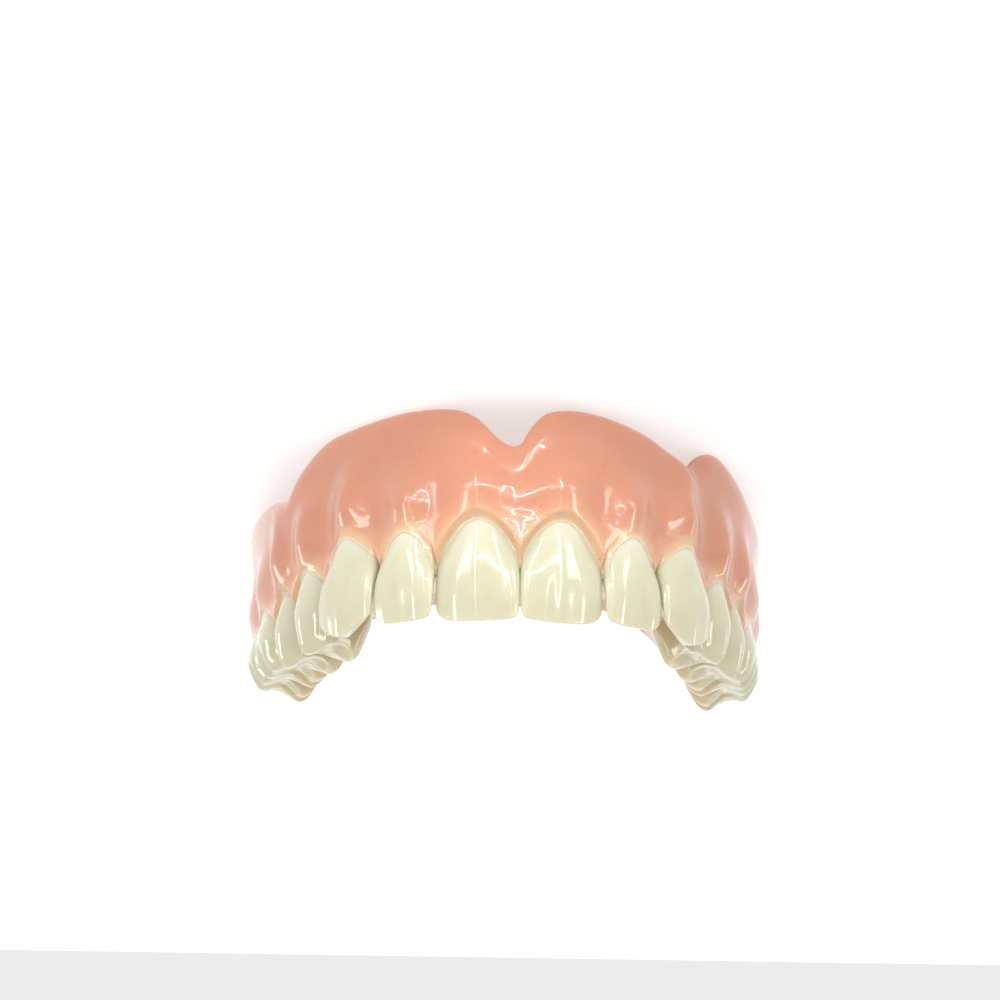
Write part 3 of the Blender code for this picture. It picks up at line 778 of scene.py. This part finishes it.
def round_end(points, turn):
    """Rows that close the last section with a rounded edge."""
    last = points[-1]
    upper, lower = last[:turn + 1], last[turn:][::-1]
    upper_shares, lower_shares = length_shares(upper), length_shares(lower)
    shares = np.linspace(0, 1, 80)
    middle = (read_line(shares, upper_shares, upper) + read_line(shares, lower_shares, lower)) / 2
    nearest = np.abs(upper_shares[:, None] - lower_shares).argmin(axis=1)
    rows = []
    for angle in np.linspace(0, np.pi / 2, END_ROWS + 1)[1:]:
        closed = ease((angle - 1.2) / 0.3)
        met = mix(upper_shares, lower_shares[nearest], closed)
        share = np.concatenate((met, lower_shares[::-1][1:]))
        centre = read_line(END_CENTRE * share, shares, middle)
        row = mix(last, centre, 1 - math.cos(angle))
        row[:, 1] += END_BULGE * math.sin(angle)
        rows.append(row)
    return np.concatenate((points, np.array(rows)))


def section_places():
    """Places of the sections, closer together where two crowns meet."""
    places = [np.array([0.0])]
    share = np.linspace(0, 1, 34)[1:]
    for start, tooth in zip(STARTS, TEETH):
        places.append(start + tooth.width * (share - 0.1 * np.sin(2 * np.pi * share)))
    places.append(ARCH_LENGTH + BASE_TAIL * np.linspace(0, 1, 16)[1:])
    return np.concatenate(places)


def half_base(side):
    """Points and values of one half of the base, from the middle to its rounded end."""
    points, cover, tissue, turn = BaseSections(section_places(), side).shell()
    points[0, :, 0] = 0.0
    points = round_end(points, turn)
    extra = ((0, END_ROWS), (0, 0))
    cover = np.pad(cover, extra, mode="edge")
    tissue = np.pad(tissue, extra, mode="edge")
    tissue[-len(END_FADE):] *= np.array(END_FADE)[:, None]
    points[:, (0, -1), 0] = 0.0
    points[..., 0] *= side
    return points, cover, tissue


def make_base(material):
    """The base: a grid laid round the arch from end to end, and closed."""
    points, cover, tissue = (np.concatenate((left[:0:-1], right))
                             for left, right in zip(half_base(-1), half_base(1)))
    rows, columns = points.shape[:2]
    select_nothing()
    bpy.ops.mesh.primitive_grid_add(x_subdivisions=columns - 1, y_subdivisions=rows - 1, size=2)
    obj = bpy.context.active_object
    mesh = obj.data
    mesh.vertices.foreach_set("co", (points + ARCH_CENTRE).reshape(-1))
    write_attribute(mesh, "cover", cover)
    write_attribute(mesh, "tissue", tissue)
    mesh.update()
    bpy.ops.object.mode_set(mode="EDIT")
    bpy.ops.mesh.select_all(action="SELECT")
    bpy.ops.mesh.remove_doubles(threshold=MERGE_DISTANCE)
    bpy.ops.mesh.select_all(action="DESELECT")
    bpy.ops.mesh.select_non_manifold()
    bpy.ops.mesh.fill_holes(sides=0)
    bpy.ops.object.mode_set(mode="OBJECT")
    face_outwards()
    bpy.ops.object.shade_smooth()
    obj.name = "gum_base"
    obj.data.materials.append(material)
    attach(obj, "root")
    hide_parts("denture_base")


def new_material(name):
    """New material with its node tree and its shader."""
    material = bpy.data.materials.new(name)
    material.use_nodes = True
    tree = material.node_tree
    return material, tree, tree.nodes["Principled BSDF"]


def new_group(name, inputs, outputs):
    """Node group with named sockets, and its two end nodes."""
    group = bpy.data.node_groups.new(name, "ShaderNodeTree")
    for direction, sockets in (("INPUT", inputs), ("OUTPUT", outputs)):
        for socket, kind in sockets:
            group.interface.new_socket(name=socket, in_out=direction, socket_type=kind)
    start = group.nodes.new("NodeGroupInput")
    end = group.nodes.new("NodeGroupOutput")
    return group, start, end


def set_inputs(node, values):
    """Give sockets of a node their constants, by name or number."""
    for socket, value in values.items():
        node.inputs[socket].default_value = value


def add_node(tree, kind, values=None, **settings):
    """New node with its settings, and constants for its sockets."""
    node = tree.nodes.new(kind)
    for name, value in settings.items():
        setattr(node, name, value)
    set_inputs(node, values or {})
    return node


def tone_drift_group():
    """Slow patches that make a colour a little lighter and darker, as hand-packed acrylic is."""
    group, start, end = new_group(
        "tone_drift", (("Place", "NodeSocketVector"), ("Colour", "NodeSocketColor"),
                       ("Patch scale", "NodeSocketFloat"), ("Strength", "NodeSocketFloat")),
        (("Colour", "NodeSocketColor"),))
    noise = add_node(group, "ShaderNodeTexNoise", {"Detail": 3})
    swing = add_node(group, "ShaderNodeMapRange",
                     {"From Min": 0.3, "From Max": 0.7, "To Min": -1.0})
    scaled = add_node(group, "ShaderNodeMath", {2: 1.0}, operation="MULTIPLY_ADD")
    tone = add_node(group, "ShaderNodeHueSaturation")
    links = group.links
    links.new(start.outputs["Place"], noise.inputs["Vector"])
    links.new(start.outputs["Patch scale"], noise.inputs["Scale"])
    links.new(noise.outputs["Fac"], swing.inputs["Value"])
    links.new(swing.outputs["Result"], scaled.inputs[0])
    links.new(start.outputs["Strength"], scaled.inputs[1])
    links.new(scaled.outputs[0], tone.inputs["Value"])
    links.new(start.outputs["Colour"], tone.inputs["Color"])
    links.new(tone.outputs["Color"], end.inputs["Colour"])
    return group


def hand_polish_group():
    """Low waves that a polishing wheel leaves, as a height."""
    group, start, end = new_group(
        "hand_polish", (("Place", "NodeSocketVector"), ("Wave scale", "NodeSocketFloat")),
        (("Height", "NodeSocketFloat"),))
    noise = add_node(group, "ShaderNodeTexNoise", {"Detail": 1, "Distortion": 0.4})
    links = group.links
    links.new(start.outputs["Place"], noise.inputs["Vector"])
    links.new(start.outputs["Wave scale"], noise.inputs["Scale"])
    links.new(noise.outputs["Fac"], end.inputs["Height"])
    return group


def place_group(tree, group, place, values):
    """Use of a node group at a place, with constants for its other sockets."""
    node = add_node(tree, "ShaderNodeGroup", node_tree=group)
    tree.links.new(place, node.inputs["Place"])
    set_inputs(node, values)
    return node


def colour_ramp(tree, factor, stops):
    """Colours at places 0 to 1 of a value."""
    ramp = add_node(tree, "ShaderNodeValToRGB")
    elements = ramp.color_ramp.elements
    for element, (place, colour) in zip(elements, (stops[0], stops[-1])):
        element.position, element.color = place, (*colour, 1)
    for place, colour in stops[1:-1]:
        elements.new(place).color = (*colour, 1)
    tree.links.new(factor, ramp.inputs["Fac"])
    return ramp.outputs["Color"]


def blend_colours(tree, factor, first, second):
    """Mix of a colour socket and a colour, by a mask. Sockets 6 and 7 take the two colours."""
    node = add_node(tree, "ShaderNodeMix", data_type="RGBA")
    tree.links.new(factor, node.inputs[0])
    tree.links.new(first, node.inputs[6])
    node.inputs[7].default_value = (*second, 1)
    return node.outputs[2]


def times(tree, value, number):
    """A value socket multiplied by a number."""
    node = add_node(tree, "ShaderNodeMath", {1: number}, operation="MULTIPLY")
    tree.links.new(value, node.inputs[0])
    return node.outputs[0]


def times_value(tree, first, second):
    """Product of two value sockets."""
    node = add_node(tree, "ShaderNodeMath", operation="MULTIPLY")
    tree.links.new(first, node.inputs[0])
    tree.links.new(second, node.inputs[1])
    return node.outputs[0]


def map_value(tree, value, limits):
    """A value socket carried from one pair of limits to another."""
    node = add_node(tree, "ShaderNodeMapRange", limits)
    tree.links.new(value, node.inputs["Value"])
    return node.outputs["Result"]


def add_relief(tree, height, strength, distance):
    """Bump node for a height, for the look of the finish."""
    node = add_node(tree, "ShaderNodeBump", {"Strength": strength, "Distance": distance})
    tree.links.new(height, node.inputs["Height"])
    return node


def read_attribute(tree, name):
    """Value of a mesh attribute."""
    return add_node(tree, "ShaderNodeAttribute", attribute_name=name).outputs["Fac"]


def drifted(tree, drift, place, colour, scale, strength):
    """A colour with slow patches in it."""
    node = place_group(tree, drift, place, {"Patch scale": scale, "Strength": strength})
    tree.links.new(colour, node.inputs["Colour"])
    return node.outputs["Colour"]


def tooth_material(drift, polish):
    """Ivory acrylic: painted lighter at the neck as lit, greyer and clearer at the biting edge,
    with painted shade on the lingual side, glossy.
    """
    material, tree, shader = new_material("ivory_tooth")
    links = tree.links
    place = add_node(tree, "ShaderNodeTexCoord").outputs["Object"]
    colour = colour_ramp(tree, read_attribute(tree, "neck"), TOOTH_COLOURS)
    # The lingual side gets painted shade and warm bounced light, and the fissures are made darker
    # and browner
    for name, strength, tint in TOOTH_PAINTED_SHADE_AND_FISSURES:
        mask = times(tree, read_attribute(tree, name), strength)
        colour = blend_colours(tree, mask, colour, tint)
    links.new(drifted(tree, drift, place, colour, 420.0, 0.035), shader.inputs["Base Color"])
    waves = place_group(tree, polish, place, {"Wave scale": 320.0})
    relief = add_relief(tree, waves.outputs["Height"], 0.3, 0.00007)
    links.new(relief.outputs["Normal"], shader.inputs["Normal"])
    set_inputs(shader, {
        "Roughness": 0.14, "IOR": 1.5, "Subsurface Weight": 0.5,
        "Subsurface Radius": (1.0, 0.85, 0.60), "Subsurface Scale": 0.0015,
        "Coat Weight": 0.5, "Coat Roughness": 0.03})
    return material


def fibre_mask(tree, place, scale, thickness, seed):
    """Mask of short curly threads: cell walls of a warped pattern, broken up by patches."""
    links = tree.links
    shifted = add_node(tree, "ShaderNodeMapping", {"Location": (seed, seed * 0.7, -seed)})
    links.new(place, shifted.inputs["Vector"])
    warp = add_node(tree, "ShaderNodeTexNoise", {"Scale": scale * 1.6, "Detail": 2})
    links.new(shifted.outputs["Vector"], warp.inputs["Vector"])
    added = add_node(tree, "ShaderNodeVectorMath", {1: (1.3 / scale,) * 3},
                     operation="MULTIPLY_ADD")
    links.new(warp.outputs["Color"], added.inputs[0])
    links.new(shifted.outputs["Vector"], added.inputs[2])
    cells = add_node(tree, "ShaderNodeTexVoronoi", {"Scale": scale}, feature="DISTANCE_TO_EDGE")
    links.new(added.outputs["Vector"], cells.inputs["Vector"])
    line = map_value(tree, cells.outputs["Distance"],
                     {"From Min": thickness, "From Max": thickness * 0.3})
    patches = add_node(tree, "ShaderNodeTexNoise", {"Scale": scale * 0.9, "Detail": 2})
    links.new(shifted.outputs["Vector"], patches.inputs["Vector"])
    gate = map_value(tree, patches.outputs["Fac"], {"From Min": 0.52, "From Max": 0.60})
    return times_value(tree, line, gate)


def gum_material(drift, polish):
    """Pink acrylic: paler over the necks, with fine red fibres, glossy outside, matt inside."""
    material, tree, shader = new_material("pink_gum")
    links = tree.links
    place = add_node(tree, "ShaderNodeTexCoord").outputs["Object"]
    reach = times(tree, read_attribute(tree, "cover"), 1 / COVER_REACH)
    colour = colour_ramp(tree, reach, GUM_COLOURS)
    colour = drifted(tree, drift, place, colour, 130.0, 0.05)
    for scale, thickness, seed, strength in FIBRES:
        mask = times(tree, fibre_mask(tree, place, scale, thickness, seed), strength)
        colour = blend_colours(tree, mask, colour, FIBRE_COLOUR)
    links.new(colour, shader.inputs["Base Color"])
    tissue = read_attribute(tree, "tissue")
    rough = map_value(tree, tissue, {"To Min": 0.24, "To Max": 0.55})
    links.new(rough, shader.inputs["Roughness"])
    coat = map_value(tree, tissue, {"To Min": 0.6, "To Max": 0.0})
    links.new(coat, shader.inputs["Coat Weight"])
    waves = place_group(tree, polish, place, {"Wave scale": 260.0})
    relief = add_relief(tree, waves.outputs["Height"], 0.6, 0.00018)
    grain = add_node(tree, "ShaderNodeTexNoise", {"Scale": 1800, "Detail": 4})
    links.new(place, grain.inputs["Vector"])
    skin = add_relief(tree, times_value(tree, grain.outputs["Fac"], tissue), 0.7, 0.00012)
    links.new(relief.outputs["Normal"], skin.inputs["Normal"])
    links.new(skin.outputs["Normal"], shader.inputs["Normal"])
    set_inputs(shader, {
        "IOR": 1.49, "Coat Roughness": 0.04, "Subsurface Weight": 0.3,
        "Subsurface Radius": (1.0, 0.40, 0.25), "Subsurface Scale": 0.0011})
    return material


def make_floor():
    """Plain pale floor under the flanges."""
    select_nothing()
    bpy.ops.mesh.primitive_plane_add(size=6.0)
    floor = bpy.context.active_object
    floor.name = "floor"
    material, _, shader = new_material("pale_floor")
    set_inputs(shader, {
        "Base Color": (0.5, 0.5, 0.5, 1), "Emission Color": (1, 1, 1, 1),
        "Emission Strength": 0.60, "Roughness": 1.0, "Specular IOR Level": 0.0})
    floor.data.materials.append(material)


def add_light(name, place, target, size, power):
    """Rectangular lamp that shines at a target. Only reflections show it, not the camera."""
    light = bpy.data.lights.new(name, "AREA")
    light.shape = "RECTANGLE"
    light.size, light.size_y = size
    light.energy = power
    obj = bpy.data.objects.new(name, light)
    bpy.context.scene.collection.objects.link(obj)
    obj.location = place
    obj.rotation_euler = (Vector(target) - Vector(place)).to_track_quat("-Z", "Y").to_euler()
    obj.visible_camera = False
    return obj


def add_strip(name, start, end, width, power):
    """Narrow lamp from one place to another, for the gloss: it shines at the front teeth."""
    light = add_light(name, (0, 0, 0), (0, 0, 1), (math.dist(start, end), width), power)
    middle = (Vector(start) + Vector(end)) / 2
    along = (Vector(end) - Vector(start)).normalized()
    away = middle - Vector(GLOSS_TARGET)
    away = (away - away.dot(along) * along).normalized()
    turn = Matrix((along, away.cross(along), away)).transposed().to_4x4()
    light.matrix_world = Matrix.Translation(middle) @ turn


def make_lights():
    """White surroundings, broad lamps round the denture, and narrow strips for the gloss."""
    world = bpy.data.worlds.new("studio")
    bpy.context.scene.world = world
    world.use_nodes = True
    set_inputs(world.node_tree.nodes["Background"], {"Color": (1, 1, 1, 1), "Strength": 0.84})
    middle = (0, 0, 0.012)
    add_light("overhead", (0.0, 0.08, 0.60), middle, (0.80, 0.80), 0.6)
    add_light("back_light", (0.0, 0.35, 0.24), middle, (0.50, 0.30), 0.40)
    add_light("left_side", (-0.30, 0.02, 0.06), middle, (0.025, 0.20), 0.09)
    add_light("right_side", (0.30, 0.02, 0.06), middle, (0.06, 0.20), 0.22)
    for side in (-1, 1):
        add_light("soft_panel", (0.17 * side, -0.20, 0.02), middle, (0.03, 0.16), 0.12)
    for start, end in zip(GLOSS_FRAME, GLOSS_FRAME[1:] + GLOSS_FRAME[:1]):
        add_strip("gloss_frame", start, end, 0.0009, 0.10 * math.dist(start, end))
    for start, end in GLOSS_LEGS:
        add_strip("gloss_leg", start, end, 0.0007, 0.06 * math.dist(start, end))
    for side in (-1, 1):
        add_strip("soft_patch", (0.020 * side, -0.040, 0.002), (0.055 * side, -0.085, 0.002),
                  0.008, 0.008)


def make_camera():
    """Camera at the picture's viewing angle, turned upside down as the picture is."""
    tilt, yaw, roll = (math.radians(angle) for angle in CAMERA_ANGLES)
    forward = Vector((0, math.cos(tilt), -math.sin(tilt)))
    up = Vector((0, -math.sin(tilt), -math.cos(tilt)))
    turn = Matrix.Rotation(yaw, 3, "Z")
    forward, up = turn @ forward, turn @ up
    right = forward.cross(up)
    rolled = right * math.cos(roll) + up * math.sin(roll)
    upward = up * math.cos(roll) - right * math.sin(roll)
    data = bpy.data.cameras.new("camera")
    data.sensor_width = 36
    data.lens = CAMERA_LENS
    data.clip_start = 0.005
    camera = bpy.data.objects.new("camera", data)
    bpy.context.scene.collection.objects.link(camera)
    basis = Matrix((rolled, upward, -forward)).transposed().to_4x4()
    camera.matrix_world = Matrix.Translation(Vector(CAMERA_PLACE) + Vector(ARCH_CENTRE)) @ basis
    bpy.context.scene.camera = camera
    bpy.context.scene.view_settings.view_transform = "Standard"


tone_drift = tone_drift_group()
hand_polish = hand_polish_group()
make_base(gum_material(tone_drift, hand_polish))
make_teeth(tooth_material(tone_drift, hand_polish))
make_floor()
make_lights()
make_camera()
